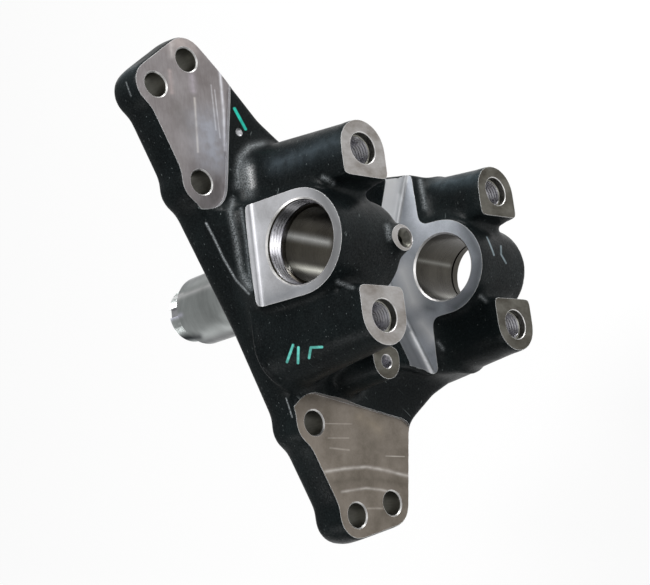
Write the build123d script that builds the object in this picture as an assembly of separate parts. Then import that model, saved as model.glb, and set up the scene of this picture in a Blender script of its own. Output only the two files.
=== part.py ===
"""Steering knuckle with integral spindle, one forged and machined steel part (mm).

Frame: origin where the kingpin axis crosses the spindle axis, +Y out along the spindle,
+Z up towards the upper kingpin boss, +X along the vehicle.
"""
from math import cos, hypot, radians, sin, tan
import os

from build123d import *

os.makedirs("parts", exist_ok=True)

# Forging in general
draft = 7.0
parting_depth = 18.0       # from the pad plane back to the parting line
flange_thickness = 32.0
front_round = 4.0
back_round = 6.0
web_rise = 2.5             # forged face above the milled pads

# Flange arms and their six mounting holes, measured along and across the arm line
arm_angle = 24.75
pad_y = 54.5               # pad plane to kingpin axis, along the spindle
arm_hole_r = 9.5
arm_hole_chamfer = 1.0
pattern_shift = -2.0       # of the hole pattern along the arm line
row_across = 67.5
end_across = 29.25
inner_along = 100.5
outer_along = 180.0
end_along = 190.0
arm_boss_r = 18.5          # metal round a hole at the pad plane
top_edge_across = 81.0
top_dip = 3.0              # of the top edge between the two arms
outline_blend = 16.0
front_notch = (172.0, 0.4)         # corners of the flange's lower side, along and across
front_foot = (126.0, -15.0)
front_root = (103.0, -28.0)
web_side_top = -30.0
rear_notch = (-153.0, -24.0)
rear_side = [(-88.5, -150.0), (-102.5, -120.0), (-121.5, -93.0)]     # in X and Z
dip_along = -15.0
pad_corner_r = 15.0
pad_mill_r = 21.5          # milled round beyond each inner hole
pad_corner_front = (196.0, -25.6)
pad_corner_rear = (-144.5, -22.7)

# Kingpin bosses, measured along the tilted kingpin axis from the origin
kingpin_tilt = 8.85
bore_r = 27.5
boss_r = 39.5
upper_face = 72.7
upper_inner = -1.0
lower_face = -109.7
lower_end = -180.0
cap_thread_r = 31.0
cap_thread_depth = 17.0
cap_chamfer = 1.15
bore_chamfer = 2.2
end_recess_depth = 6.0     # wider recess for the bottom cover
groove_from_recess = 6.0   # grease seal groove in the lower bore
groove_wide = 4.0
shoulder_back = 44.5       # kingpin axis to the milled shoulder behind the upper face
shoulder_r = 6.0
shoulder_draft = 18.0      # of the forging's top side beside the upper boss

# Gap for the axle end
gap_mill_top = -82.0
gap_corner_r = 3.0         # between the milled floor and wall
gap_stock = 1.5            # forged wall in front of the milled one
gap_apex = 57.0            # kingpin axis to the root of the milled V
gap_slope = 21.6
gap_apex_r = 30.0
gap_wide = 150.0           # how far the gap is cut to each side of the spindle axis
gap_inboard = 100.0        # how far it is cut inboard of the kingpin
web_y = 34.0               # front of the yoke web
web_wide = 90.5            # half its width at the parting plane
web_bottom = -170.0
web_waist_wide = 85.5      # half its width above the lower boss
web_waist_bottom = -104.0
web_waist_top = -79.0
web_shoulder = -10.0
web_top_wide = 70.0
web_top = 10.0
web_corner_r = 24.0
back_slope = 9.0           # of the back below the spindle
back_slope_top = -62.0

# Four threaded bosses for the steering and tie-rod arms
tube_upper_x = 61.8
tube_upper_z = 36.4
tube_upper_y = -52.2
tube_lower_x = 56.4
tube_lower_z = -141.0
tube_lower_y = -24.4
tube_r = 21.5
tube_corner_r = 5.0
root_flare_high = 7.0      # steeper foot of the bosses, for the forging radius at their roots
root_flare_draft = 38.0
tube_thread_r = 10.25
tube_counter_r = 12.0
tube_counter_depth = 6.0
tube_hole_depth = 46.0
small_chamfer = 0.5

# Steering stop boss
stop_x = -84.0
stop_z = -12.6
stop_y = 0.0
stop_r = 13.5
stop_flat = 9.5            # hole centre to the flat side
stop_thread_r = 5.0
stop_hole_depth = 26.0

# Grease nipple boss
nipple_y = -44.4
nipple_z = -1.8
nipple_r = 10.3
nipple_root = -28.0
nipple_hole_z = -3.4
nipple_mouth_r = 8.0
nipple_hole_r = 3.0

# Hardness test mark beside the upper boss
dimple_along = 122.0
dimple_across = 13.5
dimple_r = 3.0
dimple_depth = 1.0

# Spindle
spindle_end = 221.5
thread_r = 24.0
thread_start = 201.0
thread_relief = 1.0
outer_seat_r = 30.0
outer_seat_start = 161.0
inner_seat_r = 37.5
inner_seat_start = 98.0
inner_seat_end = 134.0
seat_corner_r = 3.0
root_r = 48.0
root_flare = 8.0
root_length = 6.0
slot_wide = 8.0
slot_floor_r = 20.5
centre_r = 4.0


def arm(along, across):
    """A point given along and across the arm line, as X and Z."""
    a = radians(arm_angle)
    return (along * cos(a) - across * sin(a), along * sin(a) + across * cos(a))


def facing_in(y):
    """Work plane at a given Y, drawn in X and Z, its normal pointing inboard."""
    return Plane(origin=(0, y, 0), x_dir=(1, 0, 0), z_dir=(0, -1, 0))


def outline(points):
    """Closed face on the XY plane, its normal always up."""
    turn = sum(a[0] * b[1] - b[0] * a[1] for a, b in zip(points, points[1:] + points[:1]))
    return make_face(Polyline(*(points if turn > 0 else points[::-1]), close=True))


def near(sketch, *points):
    """The vertices of a sketch nearest to the given points."""
    return [min(sketch.vertices(), key=lambda v: hypot(v.X - p[0], v.Y - p[1])) for p in points]


def beside(p, q, r):
    """The two ends of the line touching equal circles round p and q, on the left of p to q."""
    reach = hypot(q[0] - p[0], q[1] - p[1])
    side = (-(q[1] - p[1]) / reach * r, (q[0] - p[0]) / reach * r)
    return [(p[0] + side[0], p[1] + side[1]), (q[0] + side[0], q[1] + side[1])]


def touch(centre, r, corner, side):
    """Where a line from the corner touches a circle, on the left (1) or right (-1) of the centre."""
    reach = hypot(corner[0] - centre[0], corner[1] - centre[1])
    back = ((corner[0] - centre[0]) / reach, (corner[1] - centre[1]) / reach)
    c = r / reach
    d = -side * (1 - c**2) ** 0.5
    return (centre[0] + r * (back[0] * c - back[1] * d), centre[1] + r * (back[0] * d + back[1] * c))


def drafted(sketch, y_wide, y_narrow, angle=draft):
    """Prism from its wide end to its narrow end along Y, the walls leaning in by the draft."""
    prism = Rot(90, 0, 0) * extrude(sketch, abs(y_wide - y_narrow), taper=angle)
    if y_narrow > y_wide:
        prism = mirror(prism, about=Plane.XZ)
    return Pos(0, y_wide, 0) * prism


def edges_at(shape, y):
    """Edges lying wholly at one Y."""
    return [e for e in shape.edges() if all(abs((e @ t).Y - y) < 0.01 for t in (0, 0.5, 1))]


tilt = radians(kingpin_tilt)
kingpin_dir = Vector(0, -sin(tilt), cos(tilt))
inboard_dir = Vector(0, -cos(tilt), -sin(tilt))


def across_kingpin(s):
    """Work plane square to the kingpin at s along it: local x is X, local y is outboard."""
    return Plane(origin=kingpin_dir * s, x_dir=(1, 0, 0), z_dir=kingpin_dir)


def kingpin_prism(sketch, s_from, s_to):
    """Prism along the kingpin between two heights."""
    return extrude(across_kingpin(s_from) * sketch, s_to - s_from)


def kingpin_side(shape, half_width):
    """Prism across X of a face drawn outboard of the kingpin axis (x) and along it (y)."""
    side = Plane(origin=(0, 0, 0), x_dir=-inboard_dir, z_dir=(1, 0, 0))
    return extrude(side * shape, half_width, both=True)


def kingpin_cone(r_from, s_from, r_to, s_to):
    """Cone round the kingpin axis between two heights."""
    side = Plane(origin=(0, 0, 0), x_dir=-inboard_dir, z_dir=(1, 0, 0))
    half = side * outline([(0, s_from), (r_from, s_from), (r_to, s_to), (0, s_to)])
    return revolve(half, axis=Axis((0, 0, 0), kingpin_dir))


hole_places = {
    "a_outer": arm(pattern_shift + outer_along, row_across),
    "a_end": arm(pattern_shift + end_along, end_across),
    "a_inner": arm(pattern_shift + inner_along, row_across),
    "b_inner": arm(pattern_shift - inner_along, row_across),
    "b_outer": arm(pattern_shift - outer_along, row_across),
    "b_end": arm(pattern_shift - end_along, end_across),
}
tubes = {
    "upper_front": (tube_upper_x, tube_upper_z, tube_upper_y),
    "upper_rear": (-tube_upper_x, tube_upper_z, tube_upper_y),
    "lower_front": (tube_lower_x, tube_lower_z, tube_lower_y),
    "lower_rear": (-tube_lower_x, tube_lower_z, tube_lower_y),
}
part_y = pad_y + parting_depth
flange_back = pad_y + flange_thickness
skin_y = pad_y - web_rise
grow = parting_depth * tan(radians(draft))

# Flange outline at the parting plane
top_line = top_edge_across + grow
reach_r = arm_boss_r + grow
front_side = [arm(*front_notch), arm(*front_foot), arm(*front_root), (web_wide, web_side_top)]
dip = arm(dip_along, top_line - top_dip)
arm_plan = outline([
    arm(pattern_shift - outer_along, top_line),
    arm(pattern_shift - inner_along, top_line),
    dip,
    arm(pattern_shift + inner_along, top_line),
    arm(pattern_shift + outer_along, top_line),
    *beside(hole_places["a_outer"], hole_places["a_end"], reach_r),
    touch(hole_places["a_end"], reach_r, front_side[0], -1),
    *front_side,
    *rear_side,
    arm(*rear_notch),
    touch(hole_places["b_end"], reach_r, arm(*rear_notch), 1),
    *beside(hole_places["b_end"], hole_places["b_outer"], reach_r),
])
for place in hole_places.values():
    arm_plan += Pos(*place) * Circle(reach_r)
chord = (reach_r**2 - (top_line - row_across)**2) ** 0.5
notches = [
    arm(pattern_shift + side * (along + turn * chord), top_line)
    for side in (1, -1)
    for along, turn in ((outer_along, -1), (inner_along, 1), (inner_along, -1))
]
arm_plan = fillet(near(arm_plan, *notches), outline_blend)
arm_plan = fillet(near(arm_plan, *front_side, *rear_side[1:], arm(*rear_notch)), outline_blend)
arm_plan = fillet(near(arm_plan, dip), 20 * outline_blend)
flange = drafted(arm_plan, part_y, skin_y) + drafted(arm_plan, part_y, flange_back)
flange = fillet(edges_at(flange, flange_back), back_round)
flange = fillet(edges_at(flange, skin_y), front_round)

# Yoke web: the thick part of the body below the arms
web_side = [
    (web_wide, web_bottom), (web_wide, web_waist_bottom), (web_waist_wide, web_waist_top),
    (web_waist_wide, web_shoulder), (web_top_wide, web_top),
]
web_plan = outline(web_side + [(-x, z) for x, z in reversed(web_side)])
web_plan = fillet(near(web_plan, (-web_wide, web_bottom), (web_wide, web_bottom)), web_corner_r)
waist = [(side * x, z) for side in (1, -1) for x, z in web_side[1:4]]
web_plan = fillet(near(web_plan, *waist), outline_blend)
web = drafted(web_plan, part_y, web_y) + drafted(web_plan, part_y, flange_back)
web = fillet(edges_at(web, flange_back), back_round)
web = fillet(edges_at(web, web_y), front_round)
slope = radians(back_slope)
back_plane = Plane(origin=(0, flange_back, back_slope_top), z_dir=(0, -cos(slope), sin(slope)))
forging = split(flange + web, back_plane, keep=Keep.TOP)

# Kingpin bosses, each with a block joining it to the body
allowance = 4.0
upper_saddle = outline([
    (0, upper_inner), (0, upper_face + allowance), (shoulder_back + 2, upper_face + allowance),
    (shoulder_back + 11, upper_face + 7), (shoulder_back + 22, upper_face + 19),
    (shoulder_back + 30, upper_face + 19), (shoulder_back + 24, upper_inner),
])
lower_saddle = outline([
    (0, lower_end + 10), (0, lower_face + allowance), (40, lower_face + allowance), (40, lower_end + 20),
])
across = Vector(-sin(radians(arm_angle)), 0, cos(radians(arm_angle)))
top_plane = Plane(
    origin=across * (top_edge_across - 0.5) + Vector(0, skin_y, 0),
    z_dir=across + Vector(0, tan(radians(shoulder_draft)), 0),
)
forging += kingpin_prism(Circle(boss_r), upper_inner, upper_face + allowance)
forging += split(kingpin_side(upper_saddle, boss_r), top_plane, keep=Keep.BOTTOM)
forging += kingpin_prism(Circle(boss_r), lower_end, lower_face + allowance)
forging += kingpin_side(lower_saddle, boss_r)


def d_boss(x, z, y, r, face_y, flat):
    """Drafted boss along Y, round outside and square towards the kingpin, flared where it meets a face."""
    inward = -1 if x > 0 else 1

    def section(grow):
        square = Rectangle(flat + grow, 2 * (r + grow))
        shape = Circle(r + grow) + Pos(inward * (flat + grow) / 2, 0) * square
        return fillet(shape.vertices().group_by(Axis.X)[-1 if inward > 0 else 0], tube_corner_r)

    root_y = face_y + root_flare_high / 2
    widen = (root_y - y) * tan(radians(draft))
    foot = root_flare_high * tan(radians(root_flare_draft))
    flare = (face_y - root_flare_high - y) * tan(radians(draft)) + foot
    boss = drafted(section(widen), root_y, y)
    boss += drafted(section(flare), face_y, face_y - root_flare_high, root_flare_draft)
    return Pos(x, 0, z) * boss


for x, z, y in tubes.values():
    forging += d_boss(x, z, y, tube_r, skin_y if z > 0 else web_y, tube_r)

# Milled shoulder behind the upper face, and the gap for the axle end
shoulder = outline([
    (-3 * boss_r, upper_face), (shoulder_back, upper_face), (shoulder_back, upper_face + 60),
    (-3 * boss_r, upper_face + 60),
])
shoulder = fillet(near(shoulder, (shoulder_back, upper_face)), shoulder_r)
knuckle = forging - kingpin_side(shoulder, 1.5 * boss_r)


def gap_prism(apex, apex_r, s_from, s_to):
    """V-shaped space between the bosses, its root at the apex."""
    side = apex - gap_wide * tan(radians(gap_slope))
    plan = outline([
        (0, apex), (gap_wide, side), (gap_wide, -gap_inboard), (-gap_wide, -gap_inboard), (-gap_wide, side),
    ])
    return kingpin_prism(fillet(near(plan, (0, apex)), apex_r), s_from, s_to)


def on_gap_wall(point):
    """Whether a point of the gap prism is away from its open sides."""
    return point.dot(inboard_dir) < gap_inboard - 10 and abs(point.X) < gap_wide - 10


milled_gap = gap_prism(gap_apex, gap_apex_r, lower_face, gap_mill_top)
floor_edges = [e for e in milled_gap.edges() if abs((e @ 0.5).dot(kingpin_dir) - lower_face) < 0.01]
knuckle -= fillet([e for e in floor_edges if on_gap_wall(e @ 0.5)], gap_corner_r)
knuckle -= gap_prism(gap_apex - gap_stock, gap_apex_r + gap_stock, gap_mill_top, upper_inner)
knuckle += d_boss(stop_x, stop_z, stop_y, stop_r, skin_y, stop_flat)
nipple_boss = facing_in(nipple_root) * Pos(0, nipple_z) * Circle(nipple_r)
knuckle += extrude(nipple_boss, nipple_root - nipple_y)

# Milled pads on the arms, each with a round corner at its inner hole
far = 260.0


def pad(inner_hole, direction, corner, cut_r, corner_r):
    """Region milled off an arm: past a round at the inner hole and a line to the corner."""
    start = touch(inner_hole, cut_r, corner, direction)
    region = outline([
        arm(*inner_hole), arm(*start), arm(*corner), arm(direction * far, corner[1]),
        arm(direction * far, far), arm(inner_hole[0], far),
    ])
    region = fillet(near(region, arm(*corner)), corner_r)
    return region + Pos(*arm(*inner_hole)) * Circle(cut_r)


a_pad = pad((pattern_shift + inner_along, row_across), 1, pad_corner_front, pad_mill_r, pad_corner_r)
b_pad = pad((pattern_shift - inner_along, row_across), -1, pad_corner_rear, pad_mill_r + 1.0, pad_corner_r)
for region in (a_pad, b_pad):
    knuckle -= extrude(facing_in(pad_y) * region, 4 * web_rise)

# Spindle
profile = outline([
    (0, part_y), (root_r + root_flare, part_y), (root_r + root_flare, flange_back - 2),
    (root_r, flange_back + root_length), (root_r, inner_seat_start - 1), (root_r - 1, inner_seat_start),
    (inner_seat_r, inner_seat_start), (inner_seat_r, inner_seat_end),
    (outer_seat_r + 0.6, inner_seat_end + 8),
    (outer_seat_r + 0.6, outer_seat_start - 1), (outer_seat_r, outer_seat_start),
    (outer_seat_r, thread_start - 1), (outer_seat_r - 1, thread_start),
    (thread_r - thread_relief, thread_start), (thread_r - thread_relief, thread_start + 3),
    (thread_r, thread_start + 4), (thread_r, spindle_end - 1.5), (thread_r - 1.5, spindle_end), (0, spindle_end),
])
profile = fillet(near(profile, (root_r, flange_back + root_length)), root_flare)
profile = fillet(near(profile, (inner_seat_r, inner_seat_start)), seat_corner_r)
knuckle += revolve(profile, axis=Axis.Y)
slot_depth = spindle_end - thread_start + 1
knuckle -= Pos(0, spindle_end - slot_depth / 2 + 1, slot_floor_r + thread_r / 2) * Box(
    slot_wide, slot_depth, thread_r
)
centre = outline([
    (0, spindle_end - 2 * centre_r), (centre_r, spindle_end), (centre_r, spindle_end + 1), (0, spindle_end + 1),
])
knuckle -= revolve(centre, axis=Axis.Y)

# Kingpin bore, cap thread and seal groove
knuckle -= kingpin_prism(Circle(bore_r), lower_end - 20, upper_face + 20)
knuckle -= kingpin_prism(Circle(cap_thread_r), upper_face - cap_thread_depth, upper_face + 1)
knuckle -= kingpin_cone(
    cap_thread_r, upper_face - cap_chamfer, cap_thread_r + 2 * cap_chamfer, upper_face + cap_chamfer
)
for face, turn in ((upper_inner, 1), (lower_face, -1)):
    knuckle -= kingpin_cone(
        bore_r, face + turn * bore_chamfer, bore_r + 2 * bore_chamfer, face - turn * bore_chamfer
    )
knuckle -= kingpin_prism(Circle(cap_thread_r), lower_end - 1, lower_end + end_recess_depth)
groove_s = lower_end + end_recess_depth + groove_from_recess
knuckle -= kingpin_prism(Circle(cap_thread_r), groove_s, groove_s + groove_wide)


# Holes along Y
def hole(x, z, y, steps):
    """Turned hole opening inboard at y: radii at depths from its mouth."""
    rim = steps[0][1]
    points = [(0, -1), (rim, -1)] + [(r, depth) for depth, r in steps]
    if steps[-1][1] > 0:
        points.append((0, steps[-1][0]))
    return Pos(x, y, z) * revolve(outline(points), axis=Axis.Y)


for x, z in hole_places.values():
    knuckle -= hole(x, z, pad_y, [
        (0, arm_hole_r + arm_hole_chamfer), (arm_hole_chamfer, arm_hole_r), (flange_thickness + 20, arm_hole_r),
    ])
for x, z, y in tubes.values():
    knuckle -= hole(x, z, y, [
        (0, tube_counter_r + small_chamfer), (small_chamfer, tube_counter_r), (tube_counter_depth, tube_counter_r),
        (tube_counter_depth, tube_thread_r), (tube_hole_depth, tube_thread_r),
        (tube_hole_depth + tube_thread_r / 2, 0),
    ])
knuckle -= hole(stop_x, stop_z, stop_y, [
    (0, stop_thread_r + small_chamfer), (small_chamfer, stop_thread_r), (stop_hole_depth, stop_thread_r),
    (stop_hole_depth + stop_thread_r / 2, 0),
])
knuckle -= hole(0, nipple_hole_z, nipple_y, [
    (0, nipple_mouth_r), (nipple_mouth_r - nipple_hole_r, nipple_hole_r), (-nipple_y - bore_r + 5, nipple_hole_r),
])
dimple_x, dimple_z = arm(dimple_along, dimple_across)
knuckle -= hole(dimple_x, dimple_z, skin_y, [(0, dimple_r), (dimple_depth, dimple_r - 1)])

knuckle.label = "steering_knuckle"
export_step(knuckle, "parts/steering_knuckle.step")
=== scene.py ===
"""Looks of the steering knuckle: a steel forging painted black, machined bare on faces and bores."""
from math import atan2, cos, hypot, pi, radians, sin, sqrt, tan

import bmesh
import bpy
import numpy as np
from mathutils import Matrix, Vector


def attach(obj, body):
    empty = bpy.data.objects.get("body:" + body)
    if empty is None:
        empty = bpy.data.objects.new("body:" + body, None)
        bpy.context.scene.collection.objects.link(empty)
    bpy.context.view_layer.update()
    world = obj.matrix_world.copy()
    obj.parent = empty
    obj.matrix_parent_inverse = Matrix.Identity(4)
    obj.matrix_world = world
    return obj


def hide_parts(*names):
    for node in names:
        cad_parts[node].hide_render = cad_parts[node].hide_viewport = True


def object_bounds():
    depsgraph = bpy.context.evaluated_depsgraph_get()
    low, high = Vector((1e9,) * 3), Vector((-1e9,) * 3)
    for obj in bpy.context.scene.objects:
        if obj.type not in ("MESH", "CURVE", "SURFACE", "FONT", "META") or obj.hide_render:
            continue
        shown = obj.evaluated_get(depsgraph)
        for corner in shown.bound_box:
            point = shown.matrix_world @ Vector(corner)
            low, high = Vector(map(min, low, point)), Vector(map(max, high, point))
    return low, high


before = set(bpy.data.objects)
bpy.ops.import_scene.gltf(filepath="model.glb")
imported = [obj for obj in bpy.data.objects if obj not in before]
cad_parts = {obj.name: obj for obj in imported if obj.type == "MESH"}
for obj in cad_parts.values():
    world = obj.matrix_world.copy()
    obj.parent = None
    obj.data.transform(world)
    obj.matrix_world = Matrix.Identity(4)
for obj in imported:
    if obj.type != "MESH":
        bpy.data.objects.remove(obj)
cad_low, cad_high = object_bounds()
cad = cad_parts["steering_knuckle"]

# Forging: the body of a truck's steering knuckle, drop-forged in steel with scaled skin and large soft
# radii, and dipped in black paint. Its skin is the frame's own shape on a grid of cells, with the stock
# put back where it is machined, and rounded by blurring. Sizes are in mm, as in the part's source.
TILT = radians(8.85)                  # lean of the kingpin
KINGPIN = np.array([0, -sin(TILT), cos(TILT)])
OUTBOARD = np.array([0, cos(TILT), sin(TILT)])
ARM = radians(24.75)                  # lean of the line of the two arms
PAD_Y = 54.5                          # the milled pads
BACK_Y = 86.5                         # back of the flange
BORE_R = 27.5                         # kingpin bore
BOSS_R = 39.5
UPPER_FACE = 72.7                     # ends of the kingpin bosses, as heights along the kingpin
UPPER_INNER = -1.0
LOWER_FACE = -109.7
LOWER_END = -180.0
CAP_R = 31.0                          # thread of the upper cap, and recess and groove of the lower one
SHOULDER_BACK = 44.5                  # where the cut on the upper boss ends
GAP_TOP = -82.0
GAP_APEX = 57.0                       # the V of the gap, outboard of the kingpin
GAP_SLOPE = tan(radians(21.6))
GAP_STOCK = 1.5
WEB_Y = 34.0
PART_Y = 72.5                         # parting line of the dies, and the draft away from it
DRAFT = tan(radians(7.0))
WAIST = ([-104, -79], [90.5, 85.5])   # two heights beside the gap, and half the body's width there
GAP_ROOT = -125.0                     # the stock of the gap goes down to this height
ALLOWANCE = 4.0                       # stock on the forging where it is faced or milled
PAD_STOCK = 2.5                       # and on the pads
TUBES = [(61.8, 36.4, -52.2), (-61.8, 36.4, -52.2), (56.4, -141.0, -24.4), (-56.4, -141.0, -24.4)]
STOP = (-84.0, -12.6, 0.0)            # bosses facing the axle, each as x, z and the y of its face
NIPPLE = (0.0, -1.8, -44.4)
NIPPLE_R = 10.3
PATTERN_SHIFT = -2.0
HOLE_PATTERN = ((180.0, 67.5), (190.0, 29.25), (100.5, 67.5))     # along and across an arm, inner one last
HOLE_FILL = 12.5                      # radii that fill the holes again, with their chamfers
TUBE_FILL = 14.5
STOP_FILL = 8.0
BORE_FILL = 36.0
BEHIND = 9.0                          # what lies this far behind a small boss's face is raised with it
BACK_CLEAR = 8.0                      # the gap's stock stops this far short of the flange's back
STEP = 2.0                            # the grid: cell size, first cell and number of cells
START = np.array([-226.03, -63.01, -189.02])
COUNT = (209, 80, 178)
EDGE_BLUR = 2.3                       # blur for the forging's edges, and for the roots of its bosses
ROOT_BLUR = 6.0
BLEND = 0.6                           # width of the join between the two


def arm(along, across):
    """(x, z) of a point along and across the line of the two arms."""
    return (along * cos(ARM) - across * sin(ARM), along * sin(ARM) + across * cos(ARM))


HOLES = [arm(PATTERN_SHIFT + side * along, across) for side in (1, -1) for along, across in HOLE_PATTERN]


def kp(s, out, x):
    """Point at a height along the kingpin, outboard of it and across it."""
    return KINGPIN * s + OUTBOARD * out + np.array([x, 0, 0])


def mesh_object(name, verts, faces, kinds="paint"):
    """Mesh from points in mm, written as metres; kinds names a finish for every face, or one for all."""
    me = bpy.data.meshes.new(name)
    me.from_pydata([tuple(float(c) / 1000 for c in v) for v in verts], [], faces)
    for m in MATERIALS.values():
        me.materials.append(m)
    if isinstance(kinds, str):
        kinds = [kinds] * len(faces)
    order = list(MATERIALS)
    me.polygons.foreach_set("material_index", [order.index(k) for k in kinds])
    b = bmesh.new()
    b.from_mesh(me)
    bmesh.ops.recalc_face_normals(b, faces=b.faces)
    b.to_mesh(me)
    b.free()
    ob = bpy.data.objects.new(name, me)
    bpy.context.scene.collection.objects.link(ob)
    return ob


def occupancy():
    """How full each cell of the grid is of the CAD solid, from where columns along Y cross its mesh."""
    me = cad.data
    co = np.empty(len(me.vertices) * 3)
    me.vertices.foreach_get("co", co)
    co = co.reshape(-1, 3) * 1000
    me.calc_loop_triangles()
    tri = np.empty(len(me.loop_triangles) * 3, int)
    me.loop_triangles.foreach_get("vertices", tri)
    tri = co[tri.reshape(-1, 3)]
    nx, ny, nz = COUNT
    xs = START[0] + STEP * (np.arange(2 * nx) - 0.5) / 2
    zs = START[2] + STEP * (np.arange(2 * nz) - 0.5) / 2
    change = np.zeros((2 * nx, ny + 2, 2 * nz), np.float32)
    for a, b, c in tri:
        x0, x1 = np.searchsorted(xs, [min(a[0], b[0], c[0]), max(a[0], b[0], c[0])])
        z0, z1 = np.searchsorted(zs, [min(a[2], b[2], c[2]), max(a[2], b[2], c[2])])
        area = (b[0] - a[0]) * (c[2] - a[2]) - (c[0] - a[0]) * (b[2] - a[2])
        if x0 == x1 or z0 == z1 or area == 0:
            continue
        gx, gz = xs[x0:x1, None], zs[None, z0:z1]
        wa = ((b[0] - gx) * (c[2] - gz) - (c[0] - gx) * (b[2] - gz)) / area
        wb = ((c[0] - gx) * (a[2] - gz) - (a[0] - gx) * (c[2] - gz)) / area
        wc = 1 - wa - wb
        i, k = np.nonzero((wa >= 0) & (wb >= 0) & (wc >= 0))
        if not len(i):
            continue
        y = wa[i, k] * a[1] + wb[i, k] * b[1] + wc[i, k] * c[1]
        u = np.clip((y - START[1]) / STEP + 0.5, 0, ny)
        j = u.astype(int)
        part = 1 - (u - j)
        s = 1.0 if area > 0 else -1.0
        np.add.at(change, (i + x0, j, k + z0), s * part)
        np.add.at(change, (i + x0, j + 1, k + z0), s * (1 - part))
    full = np.clip(np.cumsum(change, axis=1)[:, :ny], 0, 1)
    return (full[0::2, :, 0::2] + full[1::2, :, 0::2] + full[0::2, :, 1::2] + full[1::2, :, 1::2]) / 4


def blur(grid, sigma):
    """Gaussian blur, with sigma in cells."""
    reach = int(3 * sigma + 1)
    taps = np.exp(-0.5 * (np.arange(-reach, reach + 1) / sigma) ** 2)
    taps /= taps.sum()
    for axis in range(3):
        pad = [(0, 0)] * 3
        pad[axis] = (reach, reach)
        wide = np.pad(grid, pad, mode="edge")
        grid = sum(t * np.take(wide, range(k, k + grid.shape[axis]), axis=axis) for k, t in enumerate(taps))
    return grid.astype(np.float32)


def depth(full, sigma):
    """Depth below the blurred surface, in mm: 1.596 makes the slope 1 across a flat face."""
    p = np.clip(blur(full, sigma / STEP), 1e-4, 1 - 1e-4)
    return sigma * np.log(p / (1 - p)) / 1.596


def surface_net(field):
    """Quads where the field changes sign, one vertex in each crossed cell, then pulled onto it."""
    n = np.array(field.shape)
    inside = field > 0
    total = np.zeros((*(n - 1), 3), np.float32)
    count = np.zeros(n - 1, np.float32)
    corner = [(a, b, c) for a in (0, 1) for b in (0, 1) for c in (0, 1)]

    def at(grid, o):
        return grid[o[0]:n[0] - 1 + o[0], o[1]:n[1] - 1 + o[1], o[2]:n[2] - 1 + o[2]]

    for p in corner:
        for axis in range(3):
            if p[axis]:
                continue
            q = tuple(1 if i == axis else v for i, v in enumerate(p))
            fp, fq = at(field, p), at(field, q)
            hit = at(inside, p) != at(inside, q)
            t = np.where(hit, fp / np.where(hit, fp - fq, 1), 0)
            for i in range(3):
                total[..., i] += np.where(hit, p[i] + (t if i == axis else 0), 0)
            count += hit
    cells = np.argwhere(count > 0)
    index = -np.ones(count.shape, int)
    index[tuple(cells.T)] = np.arange(len(cells))
    verts = cells + total[tuple(cells.T)] / count[tuple(cells.T)][:, None]
    quads = []
    for axis in range(3):
        u, v = (axis + 1) % 3, (axis + 2) % 3
        low = [slice(1, None)] * 3
        low[axis] = slice(0, -1)
        high = list(low)
        high[axis] = slice(1, None)
        hit = np.argwhere(inside[tuple(low)] != inside[tuple(high)])
        base = hit + np.array([0 if i == axis else 1 for i in range(3)])
        flag = inside[tuple(base.T)]
        ring = []
        for du, dv in ((0, 0), (1, 0), (1, 1), (0, 1)):
            cell = base.copy()
            cell[:, u] -= du
            cell[:, v] -= dv
            ring.append(index[tuple(np.minimum(cell, np.array(index.shape) - 1).T)])
        ring = np.stack(ring, 1)
        ring[~flag] = ring[~flag][:, ::-1]
        quads.append(ring)
    for _ in range(2):
        cell = np.clip(np.floor(verts).astype(int), 0, n - 2)
        f = verts - cell
        value = np.zeros(len(verts))
        slope = np.zeros((len(verts), 3))
        for p in corner:
            w = [f[:, i] if p[i] else 1 - f[:, i] for i in range(3)]
            g = field[tuple((cell + np.array(p)).T)]
            value += g * w[0] * w[1] * w[2]
            for i in range(3):
                others = [w[k] for k in range(3) if k != i]
                slope[:, i] += g * (1 if p[i] else -1) * others[0] * others[1]
        verts = verts - np.clip(value / np.maximum((slope**2).sum(1), 1e-3), -0.5, 0.5)[:, None] * slope
    return verts * STEP + START, np.concatenate(quads)


def shifted(grid, distance):
    """The grid moved along Y by a distance in mm."""
    cells = abs(distance) / STEP
    whole = int(cells)
    sign = 1 if distance > 0 else -1
    near, far = np.roll(grid, sign * whole, 1), np.roll(grid, sign * (whole + 1), 1)
    return near * (1 - cells + whole) + far * (cells - whole)


def inside(ring, x, z):
    """Which grid columns fall inside a ring of (x, z) points."""
    hit = np.zeros(np.broadcast(x, z).shape, bool)
    for (x0, z0), (x1, z1) in zip(ring, ring[1:] + ring[:1]):
        if z0 != z1:
            hit ^= ((z0 > z) != (z1 > z)) & (x < (x1 - x0) * (z - z0) / (z1 - z0) + x0)
    return hit


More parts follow.
